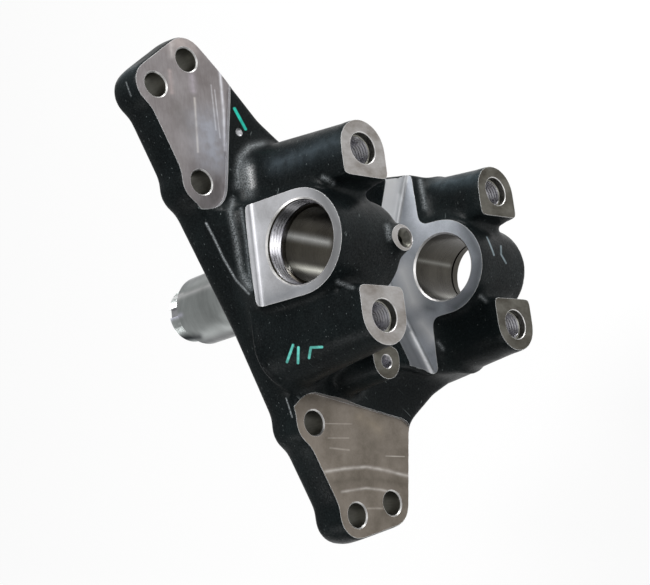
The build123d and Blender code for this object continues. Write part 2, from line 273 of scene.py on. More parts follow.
def forging():
    """The forging before machining."""
    full = occupancy()
    nx, ny, nz = COUNT
    x = (START[0] + STEP * np.arange(nx))[:, None, None]
    y = (START[1] + STEP * np.arange(ny))[None, :, None]
    z = (START[2] + STEP * np.arange(nz))[None, None, :]
    s = KINGPIN[1] * y + KINGPIN[2] * z
    out = OUTBOARD[1] * y + OUTBOARD[2] * z

    def fill(*limits):
        """Adds the stock inside all of the limits, each negative inside."""
        distance = limits[0]
        for limit in limits[1:]:
            distance = np.maximum(distance, limit)
        np.maximum(full, np.clip(0.5 - distance / STEP, 0, 1), out=full)

    def raise_by(mask, distance):
        """Puts stock on the faces in the mask by shifting what is there along Y, in two steps."""
        for _ in range(2):
            np.maximum(full, shifted(full, distance / 2) * mask, out=full)

    # The spindle comes off, as a piece of its own
    full[:, (START[1] + STEP * np.arange(ny)) > BACK_Y + 6] = 0

    # Holes are filled, and pads and small bosses get their stock
    for hx, hz in HOLES:
        fill(np.hypot(x - hx, z - hz) - HOLE_FILL, PAD_Y - y, y - BACK_Y)
    for ring in (pad_region("pad_a"), pad_region("pad_b")):
        raise_by(inside(ring, x, z), -PAD_STOCK)
    for tx, tz, ty in TUBES:
        fill(np.hypot(x - tx, z - tz) - TUBE_FILL, ty - y, y - ty - 54)
        raise_by((np.abs(x - tx) < 23) & (np.abs(z - tz) < 25) & (y < ty + BEHIND), -ALLOWANCE)
    fill(np.hypot(x - STOP[0], z - STOP[1]) - STOP_FILL, STOP[2] - y, y - 34)
    raise_by((np.abs(x - STOP[0]) < 17) & (np.abs(z - STOP[1]) < 17) & (y < STOP[2] + BEHIND), -ALLOWANCE)

    # The kingpin bore is filled, and the faces of its bosses and the gap get their stock
    radius = np.sqrt(x**2 + out**2)
    across = np.abs(x) - BOSS_R
    fill(radius - BORE_FILL, UPPER_INNER - s, s - UPPER_FACE)
    fill(radius - BORE_FILL, LOWER_END - s, s - LOWER_FACE)
    for low, top, reach in ((55, UPPER_FACE, SHOULDER_BACK + 3), (GAP_ROOT, LOWER_FACE, 40)):
        fill(radius - BOSS_R, low - s, s - top - ALLOWANCE)
        fill(across, -out, out - reach, low - s, s - top - ALLOWANCE)
    side = np.abs(x) - np.interp(z, *WAIST) + (PART_Y - y) * DRAFT
    fill(side, WEB_Y - y, y - BACK_Y + BACK_CLEAR, GAP_ROOT - s, s - LOWER_FACE - ALLOWANCE)
    wall = GAP_APEX - GAP_STOCK - np.maximum(np.abs(x), 8) * GAP_SLOPE
    fill(side, wall - out, y - BACK_Y + BACK_CLEAR, GAP_ROOT - s, s - GAP_TOP - ALLOWANCE)
    large = depth(full, ROOT_BLUR)

    # The nipple's boss is too small for the large radii
    raise_by((np.hypot(x, z - NIPPLE[1]) < 13) & (y < NIPPLE[2] + BEHIND), -ALLOWANCE)
    fill(np.hypot(x, z - NIPPLE[1]) - NIPPLE_R, NIPPLE[2] - ALLOWANCE - y, y + 28)
    small = depth(full, EDGE_BLUR)
    verts, quads = surface_net((small + large + np.sqrt((small - large)**2 + BLEND**2) - BLEND) / 2)
    return mesh_object("forging", verts, quads.tolist())


def srgb(code):
    """Linear colour of an sRGB hex value."""
    c = [int(code[i:i + 2], 16) / 255 for i in (1, 3, 5)]
    return tuple(v / 12.92 if v <= 0.04045 else ((v + 0.055) / 1.055) ** 2.4 for v in c) + (1.0,)


def node(mat, kind, inputs=(), out=0, stops=(), **settings):
    """Adds a shader node with its settings and links, and gives one of its outputs.

    inputs are (socket, value, hex colour or output to link), stops are a ramp's own, as (place, hex
    colour or grey).
    """
    n = mat.node_tree.nodes.new("ShaderNode" + kind)
    for k, v in settings.items():
        setattr(n, k, v)
    for k, v in inputs:
        if isinstance(v, bpy.types.NodeSocket):
            mat.node_tree.links.new(v, n.inputs[k])
        else:
            n.inputs[k].default_value = srgb(v) if isinstance(v, str) else v
    for i, (at, colour) in enumerate(stops):
        stop = n.color_ramp.elements[i]
        stop.position = at
        stop.color = srgb(colour) if isinstance(colour, str) else (colour, colour, colour, 1)
    return n.outputs[out]


def material(name, **sockets):
    """New material and its shader, with values set on the shader's own sockets."""
    mat = bpy.data.materials.new(name)
    mat.use_nodes = True
    shader = mat.node_tree.nodes["Principled BSDF"]
    for k, v in sockets.items():
        shader.inputs[k.replace("_", " ")].default_value = v
    return mat, shader


def lumps(mat, size, detail=3.0, rough=0.55, turn=(0, 0, 0), stretch=(1, 1, 1)):
    """Lumps about size mm across, drawn out along the stretched axes of a turned frame."""
    co = node(mat, "TexCoord", out="Object")
    co = node(mat, "Mapping", [("Vector", co), ("Rotation", turn), ("Scale", stretch)], vector_type="TEXTURE")
    inputs = [("Vector", co), ("Scale", 1000.0 / size), ("Detail", detail), ("Roughness", rough)]
    return node(mat, "TexNoise", inputs)


def stroke(mat, flat, ends, width, soft):
    """1 within a line between two points in mm, falling to 0 over the soft edge."""
    a, b = [(Vector(p) - AHEAD * Vector(p).dot(AHEAD)) / 1000 for p in ends]
    along = (b - a) / (b - a).length_squared
    rel = node(mat, "VectorMath", [(0, flat), (1, a)], operation="SUBTRACT")
    part = node(mat, "VectorMath", [(0, rel), (1, along)], 1, operation="DOT_PRODUCT")
    part = node(mat, "Clamp", [("Value", part)])
    foot = node(mat, "VectorMath", [(0, b - a), ("Scale", part)], operation="SCALE")
    away = node(mat, "VectorMath", [(0, rel), (1, foot)], operation="SUBTRACT")
    away = node(mat, "VectorMath", [(0, away)], 1, operation="LENGTH")
    outer, inner = (width / 2 + soft) / 1000, (width / 2 - soft) / 1000
    inputs = [("Value", away), ("From Min", outer), ("From Max", inner)]
    return node(mat, "MapRange", inputs, interpolation_type="SMOOTHSTEP")


# A drawn line is laid on along the direction AHEAD, in which the part is seen in the photo, so that it
# follows a curved face, and only on what lies within LINE_DEPTH mm of its own points in that direction.
AHEAD = Vector((0.2030, 0.7159, -0.6681))
LINE_DEPTH = 12.0


def drawn(mat, colour, lines, grain=1.0):
    """Soft lines over a colour, each (tint, share, width, soft, points in mm), broken up by a grain."""
    if not lines:
        return colour
    co = node(mat, "TexCoord", out="Object")
    along = node(mat, "VectorMath", [(0, co), (1, AHEAD)], operation="PROJECT")
    flat = node(mat, "VectorMath", [(0, co), (1, along)], operation="SUBTRACT")
    deep = node(mat, "VectorMath", [(0, co), (1, AHEAD)], 1, operation="DOT_PRODUCT")
    for tint, share, width, soft, points in lines:
        cover = 0.0
        for ends in zip(points, points[1:]):
            line = stroke(mat, flat, ends, width, soft)
            cover = node(mat, "Math", [(0, line), (1, cover)], operation="MAXIMUM")
        depths = [Vector(p).dot(AHEAD) / 1000 for p in points]
        middle, half = (min(depths) + max(depths)) / 2, (max(depths) - min(depths)) / 2
        off = node(mat, "Math", [(0, deep), (1, middle)], operation="SUBTRACT")
        off = node(mat, "Math", [(0, off)], operation="ABSOLUTE")
        reach = half + (LINE_DEPTH + width / 2 + soft) / 1000
        close = node(mat, "Math", [(0, off), (1, reach)], operation="LESS_THAN")
        shade = cover
        for factor in (cover, close, share, grain):
            shade = node(mat, "Math", [(0, shade), (1, factor)], operation="MULTIPLY")
        colour = node(mat, "Mix", [(0, shade), (6, colour), (7, tint)], 2, data_type="RGBA")
    return colour


def uneven(mat):
    """Patches a few mm across, for lines that are not of one strength."""
    return node(mat, "ValToRGB", [("Fac", lumps(mat, 7.0, 2))], stops=[(0.36, 0.55), (0.6, 1.0)])


def bright_edge_and_highlight(mat, colour, tint, reach, limit=0.975):
    """Lighter within reach (mm) of a sharp edge: a painted highlight on the edge, where steel has a thin
    bright burr and paint is worn.

    limit is the cosine of the turn from which a surface counts as an edge.
    """
    soft = node(mat, "Bevel", [("Radius", reach / 1000)], samples=4)
    normal = node(mat, "NewGeometry", out="Normal")
    turn = node(mat, "VectorMath", [(0, soft), (1, normal)], 1, operation="DOT_PRODUCT")
    near = node(mat, "MapRange", [("Value", turn), ("From Min", limit), ("From Max", limit - 0.1)])
    return node(mat, "Mix", [(0, near), (6, colour), (7, tint)], 2, data_type="RGBA")


def scratches(mat, turn):
    """A few thin straight scratches, all in one direction."""
    lines = lumps(mat, 1.6, 1, turn=turn, stretch=(40, 1, 1))
    return node(mat, "ValToRGB", [("Fac", lines)], stops=[(0.74, 0.0), (0.8, 1.0)])


def relief(mat, shader, *layers):
    """Stacks height layers of (height socket, distance in mm, strength) into the shader's normal."""
    normal = None
    for height, distance, strength in layers:
        inputs = [("Height", height), ("Distance", distance / 1000), ("Strength", strength)]
        if normal:
            inputs.append(("Normal", normal))
        normal = node(mat, "Bump", inputs)
    mat.node_tree.links.new(normal, shader.inputs["Normal"])


# Soft lines at their places on the forging: (tint, share, width, soft edge, points), lengths in mm.
# INK is paint marker; the wear lines are worn paint along a ridge and painted highlights in the radii
# at the roots of the bosses and tubes; the sheen lines are painted sheen on tube tops and an arm's end.
INK = [
    ("#2fc3ae", 0.95, 2.4, 0.35, [(124.2, 52, 65.3), (108.7, 52, 56.5)]),
    ("#72dccf", 0.85, 2.0, 0.35, [(-80.0, 28.2, 61.8), (-70.0, 15.8, 65.0)]),
    ("#72dccf", 0.85, 2.0, 0.35, [(-82.3, 19.9, 58.6), (-72.5, 12.0, 63.5)]),
    ("#72dccf", 0.85, 2.0, 0.35, [(-80.9, 8.1, 57.9), (-74.5, 2.0, 60.5), (-76.2, -8.2, 59.1)]),
    ("#93a3aa", 0.6, 1.8, 0.5, [(19.4, -13.9, -134.0), (2.6, -19.1, -133.2)]),
    ("#93a3aa", 0.55, 1.8, 0.5, [(12.7, -14.5, -149.6), (5.0, -16.0, -146.0), (-2.4, -16.5, -150.4)]),
]
WEAR_AND_HIGHLIGHTS = [
    ("#b4babd", 0.75, 1.8, 1.0,
     [(29.5, 55.2, 102.0), (19.8, 54.7, 97.1), (2.7, 54.9, 88.9), (-13.9, 51.3, 82.5), (-26.9, 40.7, 80.3)]),
    ("#b4babd", 0.8, 3.0, 6.0,
     [(96.8, 48.2, 44.7), (93.3, 49.8, 55.9), (83.9, 49.7, 66.1), (72.6, 48.9, 71.1), (59.6, 48.8, 72.8)]),
    ("#ffffff", 1.0, 4.0, 5.0, [(70.7, 38.5, 68.0), (56.8, 37.3, 68.9)]),
    ("#a9afb2", 0.6, 8.0, 9.0, [(74.7, 42.5, 68.0), (52.8, 41.3, 68.9)]),
    ("#b4babd", 0.8, 2.5, 4.5,
     [(49.1, 52.0, 76.6), (35.9, 43.0, 88.0), (14.0, 41.3, 86.6), (-9.2, 40.0, 86.0)]),
    ("#9aa1a5", 0.6, 2.0, 2.5,
     [(37.2, 35.2, 83.5), (12.3, 34.2, 82.9), (-10.5, 34.4, 83.0), (-25.5, 34.5, 83.1)]),
    ("#b4babd", 0.8, 4.0, 5.5, [(-14.0, 39.0, 85.5), (-22.0, 37.7, 82.4)]),
    ("#a9afb2", 0.6, 3.0, 2.5, [(43.2, -32.1, 60.4), (38.3, -35.7, 54.7)]),
    ("#a9afb2", 0.6, 4.0, 3.5, [(8.7, -40.6, 10.2), (-0.7, -41.7, 10.9)]),
    ("#a9afb2", 0.6, 3.0, 2.5, [(-33.5, -29.8, 56.1), (-41.2, -45.8, 58.7)]),
    ("#a9afb2", 0.6, 4.0, 3.5, [(81.3, 34.0, -115.4), (54.6, 29.2, -111.4)]),
    ("#a9afb2", 0.5, 3.0, 2.5, [(-29.7, -7.2, -122.3), (-36.1, -15.9, -118.5)]),
    ("#a9afb2", 0.5, 3.0, 2.5, [(-60.0, 33.0, -108.7), (-66.2, 31.2, -111.6)]),
    ("#b4babc", 0.9, 1.0, 0.7, [(-101.8, 57.3, 41.6), (-116.1, 58.2, 37.0)]),
    ("#a9afb2", 0.6, 1.0, 0.8, [(135.4, 64.4, 155.4), (124.3, 63.1, 153.0)]),
]
# Painted sheen: lighter bands on the tops of the tubes and an arm's end, on the sides the light falls on
PAINTED_SHEEN = [
    ("#434c52", 0.75, 14.0, 12.0, [(66.5, 12.0, 64.1), (65.1, -46.7, 58.3)]),
    ("#3c464b", 0.9, 14.0, 10.0, [(75.3, 18.0, -122.2), (69.0, -18.0, -124.0)]),
    ("#343c40", 0.9, 8.0, 8.0, [(142.4, 69.2, 156.8), (145.6, 55.0, 155.7)]),
]


def black_paint(ink, wear_and_highlights, painted_sheen):
    """Black enamel, dipped over the scaled skin of a forging.

    To the eye it is deep black with a pebbly gloss, dustier in patches, thinly scratched, worn light along
    a ridge, with painted highlights in its radii, painted sheen on the tops of its tubes and light along its
    sharp edges that is partly worn paint and partly painted highlight, and crossed by a few marker strokes.
    """
    mat, shader = material("black_paint")
    pebbles = lumps(mat, 9.0, 4)
    grain = lumps(mat, 1.3, 3, 0.65)
    dust = node(mat, "ValToRGB", [("Fac", lumps(mat, 40.0, 5))], stops=[(0.42, "#0c0f10"), (0.68, "#191f20")])
    tone = node(mat, "ValToRGB", [("Fac", grain)], stops=[(0.4, "#0b0e0f"), (0.7, "#1a2021")])
    colour = node(mat, "Mix", [(0, 0.5), (6, dust), (7, tone)], 2, data_type="RGBA")
    both_ways = [(0, scratches(mat, (0.0, 0.5, 0.2))), (1, scratches(mat, (0.3, -0.9, 0.0)))]
    scuffs = node(mat, "Math", both_ways, operation="ADD")
    colour = node(mat, "Mix", [(0, scuffs), (6, colour), (7, "#5a6060")], 2, data_type="RGBA")
    # Worn paint and painted highlights, broken into specks by a fine grain
    speckle = node(mat, "ValToRGB", [("Fac", lumps(mat, 1.0, 2, 0.7))], stops=[(0.4, 0.15), (0.6, 1.0)])
    colour = drawn(mat, colour, wear_and_highlights, speckle)
    colour = drawn(mat, colour, painted_sheen, uneven(mat))
    # Marker strokes, then light along sharp edges: partly worn paint, partly painted highlight
    colour = bright_edge_and_highlight(mat, drawn(mat, colour, ink, uneven(mat)), "#d4d8d8", 0.7, 0.93)
    gloss = node(mat, "ValToRGB", [("Fac", lumps(mat, 26.0, 4))], stops=[(0.35, 0.26), (0.65, 0.44)])
    shine = node(mat, "ValToRGB", [("Fac", grain)], stops=[(0.35, 0.03), (0.7, 0.09)])
    for socket, source in (("Base Color", colour), ("Roughness", gloss), ("Specular IOR Level", shine)):
        mat.node_tree.links.new(source, shader.inputs[socket])
    relief(mat, shader, (pebbles, 0.6, 0.4), (grain, 0.25, 0.6))
    return mat


# Machined faces and bores of the forging, left bare: the arms' pads for the brake, the ends of the
# kingpin bosses and the gap between them are milled, the kingpin bore is bored, with a thread for its
# cap, and the rest is drilled and tapped. Each is a solid to take off, with a finish for each face.
CLEAR = 12.0                # how far a cutter reaches out of the metal
CORNER_STEPS = 8            # points on a rounded corner
HARD_TURN = radians(32.0)   # where machined faces turn more than this, the edge is sharp
PAD_BEND = 8.0              # radius where a pad's edge turns in beside the inner hole
PAD_CORNER = 15.0
TUBE_FACING = 29.0          # half widths of the cuts on the small bosses
STOP_FACING = 18.0
NIPPLE_FACING = 14.0
APEX_R = 30.0               # rounding of the V's point

# For each pad: direction along the arms, inner corner, radius round the inner hole, and how far out
# of that hole the arm's side edge lies
PADS = {"pad_a": (1, (196.0, -25.6), 21.5, 14.0), "pad_b": (-1, (-144.5, -22.7), 22.5, 15.0)}


def rounded(points, radii):
    """Polygon with each corner rounded by its radius."""
    out = []
    for i, (p, r) in enumerate(zip(points, radii)):
        if r == 0:
            out.append(p)
            continue
        a, b = Vector(points[i - 1]), Vector(points[(i + 1) % len(points)])
        p = Vector(p)
        u, v = (a - p).normalized(), (b - p).normalized()
        half = u.angle(v) / 2
        reach = r / tan(half)
        centre = p + (u + v).normalized() * (r / sin(half))
        s, e = p + u * reach - centre, p + v * reach - centre
        for k in range(CORNER_STEPS + 1):
            d = s.normalized().slerp(e.normalized(), k / CORNER_STEPS, s.normalized())
            out.append(tuple(centre + d * r))
    return out


def pad_region(name):
    """Ring of (x, z) points round the milled part of an arm.

    It bends in from the arm's side edge, runs round the inner hole, leaves that arc where a straight
    line to the inner corner touches it, and goes on past the arm's end.
    """
    direction, corner, cut_r, edge = PADS[name]
    off = sqrt((cut_r - PAD_BEND)**2 - (edge - PAD_BEND)**2)
    inner = (PATTERN_SHIFT + direction * HOLE_PATTERN[-1][0], HOLE_PATTERN[-1][1])
    reach = hypot(corner[0] - inner[0], corner[1] - inner[1])
    bearing = atan2(corner[1] - inner[1], corner[0] - inner[0])
    touch = bearing - direction * np.arccos(cut_r / reach)
    start = atan2(edge - PAD_BEND, -direction * off)
    end = touch + (2 * pi if direction > 0 and touch < start else 0)
    if direction < 0 and end > start:
        end -= 2 * pi
    steps = [start + (end - start) * i / 20 for i in range(21)]
    points = [(inner[0] + cut_r * cos(a), inner[1] + cut_r * sin(a)) for a in steps]
    far = direction * 260.0
    bend = (inner[0] - direction * off, inner[1] + edge - PAD_BEND)
    turns = [pi / 2 + (start - pi / 2) * i / 8 for i in range(8)]
    lead = [(bend[0] + PAD_BEND * cos(a), bend[1] + PAD_BEND * sin(a)) for a in turns]
    tail = [points[-1], corner, (far, corner[1]), (far, 130.0), (bend[0], 130.0)]
    return [arm(*p) for p in lead + points[:-1] + rounded(tail, [0, PAD_CORNER, 0, 0, 0])]


def prism(name, lower, upper, kinds):
    """Closed prism between two rings of points; kinds are lower end, upper end, sides."""
    n = len(lower)
    faces = [list(range(n)), list(range(n, 2 * n))]
    faces += [[i, (i + 1) % n, n + (i + 1) % n, n + i] for i in range(n)]
    return mesh_object(name, list(lower) + list(upper), faces, [kinds[0], kinds[1]] + [kinds[2]] * n)


def block(name, low, high, kind):
    """Box between two opposite corners."""
    ring = [(low[0], low[2]), (high[0], low[2]), (high[0], high[2]), (low[0], high[2])]
    ends = [[(x, y, z) for x, z in ring] for y in (low[1], high[1])]
    return prism(name, *ends, (kind, kind, kind))


def lathe(name, profile, origin, axis, kinds, segments, wave=None):
    """Solid of revolution. profile is (radius, height) from axis to axis, kinds one per band.

    wave(radius, height, angle) may add to the radius, for threads.
    """
    axis = Vector(axis).normalized()
    turn = axis.to_track_quat("Z", "X").to_matrix()
    verts, rings, faces, tags = [], [], [], []
    for r, h in profile:
        if r == 0:
            rings.append([len(verts)])
            verts.append(Vector(origin) + turn @ Vector((0, 0, h)))
            continue
        ring = []
        for i in range(segments):
            a = 2 * pi * i / segments
            rr = r + (wave(r, h, a) if wave else 0)
            ring.append(len(verts))
            verts.append(Vector(origin) + turn @ Vector((rr * cos(a), rr * sin(a), h)))
        rings.append(ring)
    for j, (a, b) in enumerate(zip(rings, rings[1:])):
        kind = kinds if isinstance(kinds, str) else kinds[j]
        for i in range(segments):
            k = (i + 1) % segments
            face = [a[i % len(a)], a[k % len(a)], b[k % len(b)], b[i % len(b)]]
            faces.append(list(dict.fromkeys(face)))
            tags.append(kind)
    return mesh_object(name, verts, faces, tags)


def thread(where, pitch, deep):
    """Wave of a screw thread: how far the radius grows at a height and an angle."""
    def wave(r, h, a):
        return deep * abs(2 * ((h / pitch + a / (2 * pi)) % 1) - 1) if where(r, h) else 0
    return wave


def gap_mill():
    """Side and face milling of the gap: floor on the lower boss, V-shaped wall, a small radius between."""
    far, corner = 150.0, 3.0
    back = GAP_APEX - far * GAP_SLOPE
    flat = [(far, back), (far, -100.0), (-far, -100.0), (-far, back), (0.0, GAP_APEX)]
    rings = []
    levels = [(corner * (1 - sin(radians(a))), corner * (1 - cos(radians(a)))) for a in range(0, 91, 15)]
    for inset, up in levels + [(0.0, GAP_TOP - LOWER_FACE)]:
        plan = [(px, py - (inset if py > -100 else 0)) for px, py in flat]
        plan = rounded(plan, [0, 0, 0, 0, APEX_R - inset])
        rings.append([kp(LOWER_FACE + up, o, px) for px, o in plan])
    n = len(rings[0])
    faces = [list(range(n)), [i + n * (len(rings) - 1) for i in range(n)]]
    for low in range(0, n * (len(rings) - 1), n):
        faces += [[low + i, low + (i + 1) % n, low + n + (i + 1) % n, low + n + i] for i in range(n)]
    verts = [v for ring in rings for v in ring]
    return mesh_object("gap_mill", verts, faces, ["floor"] + ["wall"] * (len(faces) - 1))


def cutters():
    """The pads, faces, bores and holes, as solids to take off."""
    made = []
    for name in PADS:
        ring = pad_region(name)
        made.append(prism(name, [(x, PAD_Y - CLEAR, z) for x, z in ring], [(x, PAD_Y, z) for x, z in ring],
                          ("paint", name, "face")))
    side = [(-120, UPPER_FACE), (SHOULDER_BACK, UPPER_FACE), (SHOULDER_BACK, 130), (-120, 130)]
    side = rounded(side, [0, 6, 0, 0])
    made.append(prism("upper_mill", [kp(s, o, -59) for o, s in side], [kp(s, o, 59) for o, s in side],
                      ("face", "face", "face")))
    made.append(gap_mill())
    for i, (tx, tz, ty) in enumerate(TUBES):
        made.append(block(f"tube_face_{i}", (tx - TUBE_FACING, ty - CLEAR, tz - TUBE_FACING),
                          (tx + TUBE_FACING, ty, tz + TUBE_FACING), "boss" if tz > 0 else "boss_low"))
    made.append(block("stop_face", (STOP[0] - STOP_FACING, STOP[2] - CLEAR, STOP[1] - STOP_FACING),
                      (STOP[0] + STOP_FACING, STOP[2], STOP[1] + 16), "boss_low"))
    made.append(block("nipple_face", (-NIPPLE_FACING, NIPPLE[2] - 10, NIPPLE[1] - NIPPLE_FACING),
                      (NIPPLE_FACING, NIPPLE[2], NIPPLE[1] + NIPPLE_FACING), "boss"))

    # The kingpin bore from its lower end up: recess, seal groove, gap, plain bore, thread of the cap
    lower = [(0, LOWER_END - 8), (CAP_R, LOWER_END - 8), (CAP_R, LOWER_END + 6), (BORE_R, LOWER_END + 6)]
    groove = [(BORE_R, -167.2), (CAP_R, -167.2), (CAP_R, -164.8), (BORE_R, -164.8)]
    middle = [(BORE_R, LOWER_FACE - 1.4), (BORE_R + 2.4, LOWER_FACE + 1), (BORE_R + 2.4, -100),
              (BORE_R, -100), (BORE_R, -6), (BORE_R + 3.2, -2)]
    upper = [(BORE_R, 1.2), (BORE_R, 55.7), (CAP_R - 0.9, 55.7)]
    cap = [(CAP_R - 0.9, 57.5)] + [(CAP_R - 1.2, 57.6 + 0.5 * k) for k in range(27)]
    mouth = [(CAP_R, UPPER_FACE - 1.15), (CAP_R + 2.2, UPPER_FACE + 1.05), (CAP_R + 2.2, 80), (0, 80)]
    tags = ["bore"] * 8 + ["edge"] + ["bore"] * 4 + ["edge"] + ["bore"] * 2 + ["thread"] * 28
    tags += ["bore", "edge", "bore", "bore"]
    profile = lower + groove + middle + upper + cap + mouth
    made.append(lathe("kingpin_bore", profile, (0, 0, 0), KINGPIN, tags, 96,
                      thread(lambda r, h: r == CAP_R - 1.2, 3.0, 1.4)))

    # Plain holes of the arms, then the tapped holes of the four bosses, of the stop and of the nipple
    for i, (hx, hz) in enumerate(HOLES):
        profile = [(0, -6), (11.5, -6), (10.5, 0), (9.5, 1), (9.5, 40), (0, 40)]
        tags = ["edge"] * 3 + ["drilled"] * 2
        made.append(lathe(f"arm_hole_{i}", profile, (hx, PAD_Y, hz), (0, 1, 0), tags, 48))
    for i, (tx, tz, ty) in enumerate(TUBES):
        profile = [(0, -6), (12.5, -6), (12.5, 0), (12.0, 0.5), (12.0, 6.0)]
        profile += [(10.4, 6.0 + 0.5 * k) for k in range(1, 50)] + [(10.25, 31), (10.25, 46), (0, 51)]
        tags = ["drilled"] * 2 + ["edge"] + ["drilled"] * 2 + ["thread"] * 48 + ["drilled"] * 3
        made.append(lathe(f"tube_hole_{i}", profile, (tx, ty, tz), (0, 1, 0), tags, 40,
                          thread(lambda r, h: r == 10.4, 2.5, 1.0)))
    profile = [(0, -6), (5.6, -6), (5.6, 0), (5.1, 0.5)] + [(5.1, 0.5 + 0.35 * k) for k in range(1, 50)]
    profile += [(5.0, 26), (0, 28)]
    tags = ["edge"] * 3 + ["thread"] * 49 + ["drilled"] * 2
    made.append(lathe("stop_hole", profile, (STOP[0], STOP[2], STOP[1]), (0, 1, 0), tags, 32,
                      thread(lambda r, h: r == 5.1 and h > 0.6, 1.75, 0.7)))
    profile = [(0, -6), (8, -6), (8, 0), (7.2, 1.4), (3.8, 5), (3, 6.2), (3, 20), (0, 20)]
    made.append(lathe("nipple_hole", profile, (0, NIPPLE[2], NIPPLE[1] - 1.6), (0, 1, 0),
                      ["boss"] * 3 + ["drilled"] * 4, 40))

    # Shallow dimple of the hardness test, beside the front pad
    dx, dz = arm(122.0, 13.5)
    profile = [(0, -3), (3.4, -3), (3.1, 0.2), (2.4, 0.9), (1.2, 1.3), (0, 1.4)]
    made.append(lathe("hardness_mark", profile, (dx, PAD_Y - 2.5, dz), (0, 1, 0), "face", 24))
    return made


def cut(target, tools):
    """Takes the tools off the target and deletes them."""
    for tool in tools:
        m = target.modifiers.new(tool.name, "BOOLEAN")
        m.object = tool
        m.operation = "DIFFERENCE"
        m.solver = "MANIFOLD"
    dg = bpy.context.evaluated_depsgraph_get()
    made = bpy.data.meshes.new_from_object(target.evaluated_get(dg))
    target.modifiers.clear()
    target.data = made
    for tool in tools:
        bpy.data.objects.remove(tool)


def sharpen(ob):
    """Smooth shading with sharp edges where two finishes meet or a machined surface turns hard."""
    paint = list(MATERIALS).index("paint")
    b = bmesh.new()
    b.from_mesh(ob.data)
    for f in b.faces:
        f.smooth = True
    for e in b.edges:
        two = e.link_faces
        alike = len(two) == 2 and two[0].material_index == two[1].material_index
        e.smooth = alike and (two[0].material_index == paint or e.calc_face_angle(0) < HARD_TURN)
    b.to_mesh(ob.data)
    b.free()


def steel(name, dark, light, stretch=(1, 1, 1), turn=(0, 0, 0), rough=0.4, size=30.0, fine=1.2, metal=1.0,
          contrast=1.0, lines=(), patchy=False, edge=0.6):
    """Bare cut steel: satin grey with tool marks along the stretched axis, stained in patches, under lines of
    tool marks, painted reflections and painted shade.

    size and fine are the lengths in mm of its broad and fine marks, edge the width of its burr and of the
    painted highlight along it.
    """
    mat, shader = material(name, Metallic=metal)
    broad = lumps(mat, size, 2, turn=turn, stretch=stretch)
    marks = lumps(mat, fine, 2, 0.4, turn, stretch)
    stain = lumps(mat, 22.0, 4, 0.6)
    width = 0.16 / contrast
    sweep = node(mat, "ValToRGB", [("Fac", broad)], stops=[(0.5 - width, dark), (0.5 + width, light)])
    stain = node(mat, "ValToRGB", [("Fac", stain)], stops=[(0.36, dark), (0.68, light)])
    colour = node(mat, "Mix", [(0, 0.5), (6, sweep), (7, stain)], 2, data_type="RGBA")
    cuts = node(mat, "ValToRGB", [("Fac", marks)], stops=[(0.4, dark), (0.62, light)])
    colour = node(mat, "Mix", [(0, 0.15), (6, colour), (7, cuts)], 2, data_type="RGBA")
    colour = drawn(mat, colour, lines, uneven(mat) if patchy else 1.0)
    # Painted highlight along the sharp edges, on the burr the cutter left
    if edge:
        colour = bright_edge_and_highlight(mat, colour, "#f4f4f4", edge)
    dull = node(mat, "Mix", [(0, 0.5), (6, broad), (7, marks)], 2, data_type="RGBA")
    dull = node(mat, "ValToRGB", [("Fac", dull)], stops=[(0.35, rough - 0.06), (0.65, rough + 0.06)])
    mat.node_tree.links.new(colour, shader.inputs["Base Color"])
    mat.node_tree.links.new(dull, shader.inputs["Roughness"])
    relief(mat, shader, (marks, 0.02, 0.5), (lumps(mat, 0.7, 2), 0.01, 0.3))
    return mat


def pad_lines(lines):
    """Lines in the plane of the milled pads, through (x, z) points."""
    return [(*look, [(x, PAD_Y, z) for x, z in points]) for *look, points in lines]


PAD_A_MARKS_AND_HIGHLIGHT = pad_lines([
    # Painted highlight: the broad light patch by the holes at the arm's end; the thin lines are the cutter's
    # sweeps
    ("#b9aeaa", 0.7, 22.0, 14.0, [(178.0, 122.0), (170.0, 104.0)]),
    ("#59544f", 0.5, 12.0, 10.0, [(118.0, 118.0), (100.0, 110.0)]),
    ("#dcd6d0", 0.7, 1.6, 1.3, [(128.0, 101.2), (84.7, 103.2)]),
    ("#e2e2e8", 0.9, 2.2, 1.5, [(153.9, 73.8), (122.6, 74.4), (89.5, 77.0)]),
    ("#c9c8cc", 0.9, 1.0, 0.8, [(141.4, 84.0), (104.9, 83.8)]),
    ("#c9c8cc", 0.9, 0.9, 0.7, [(138.0, 81.0), (98.9, 80.6)]),
    ("#e6e0de", 0.6, 3.0, 4.0, [(172.0, 118.0), (158.0, 119.0)]),
    ("#cbb9b5", 0.6, 3.0, 2.8, [(146.0, 122.1), (129.0, 122.1)]),
    ("#cbc2cd", 0.55, 4.5, 4.5, [(150.0, 101.5), (134.0, 101.5)]),
    ("#a9b0bd", 0.6, 26.0, 18.0, [(108.0, 92.0), (82.0, 88.0)]),
])
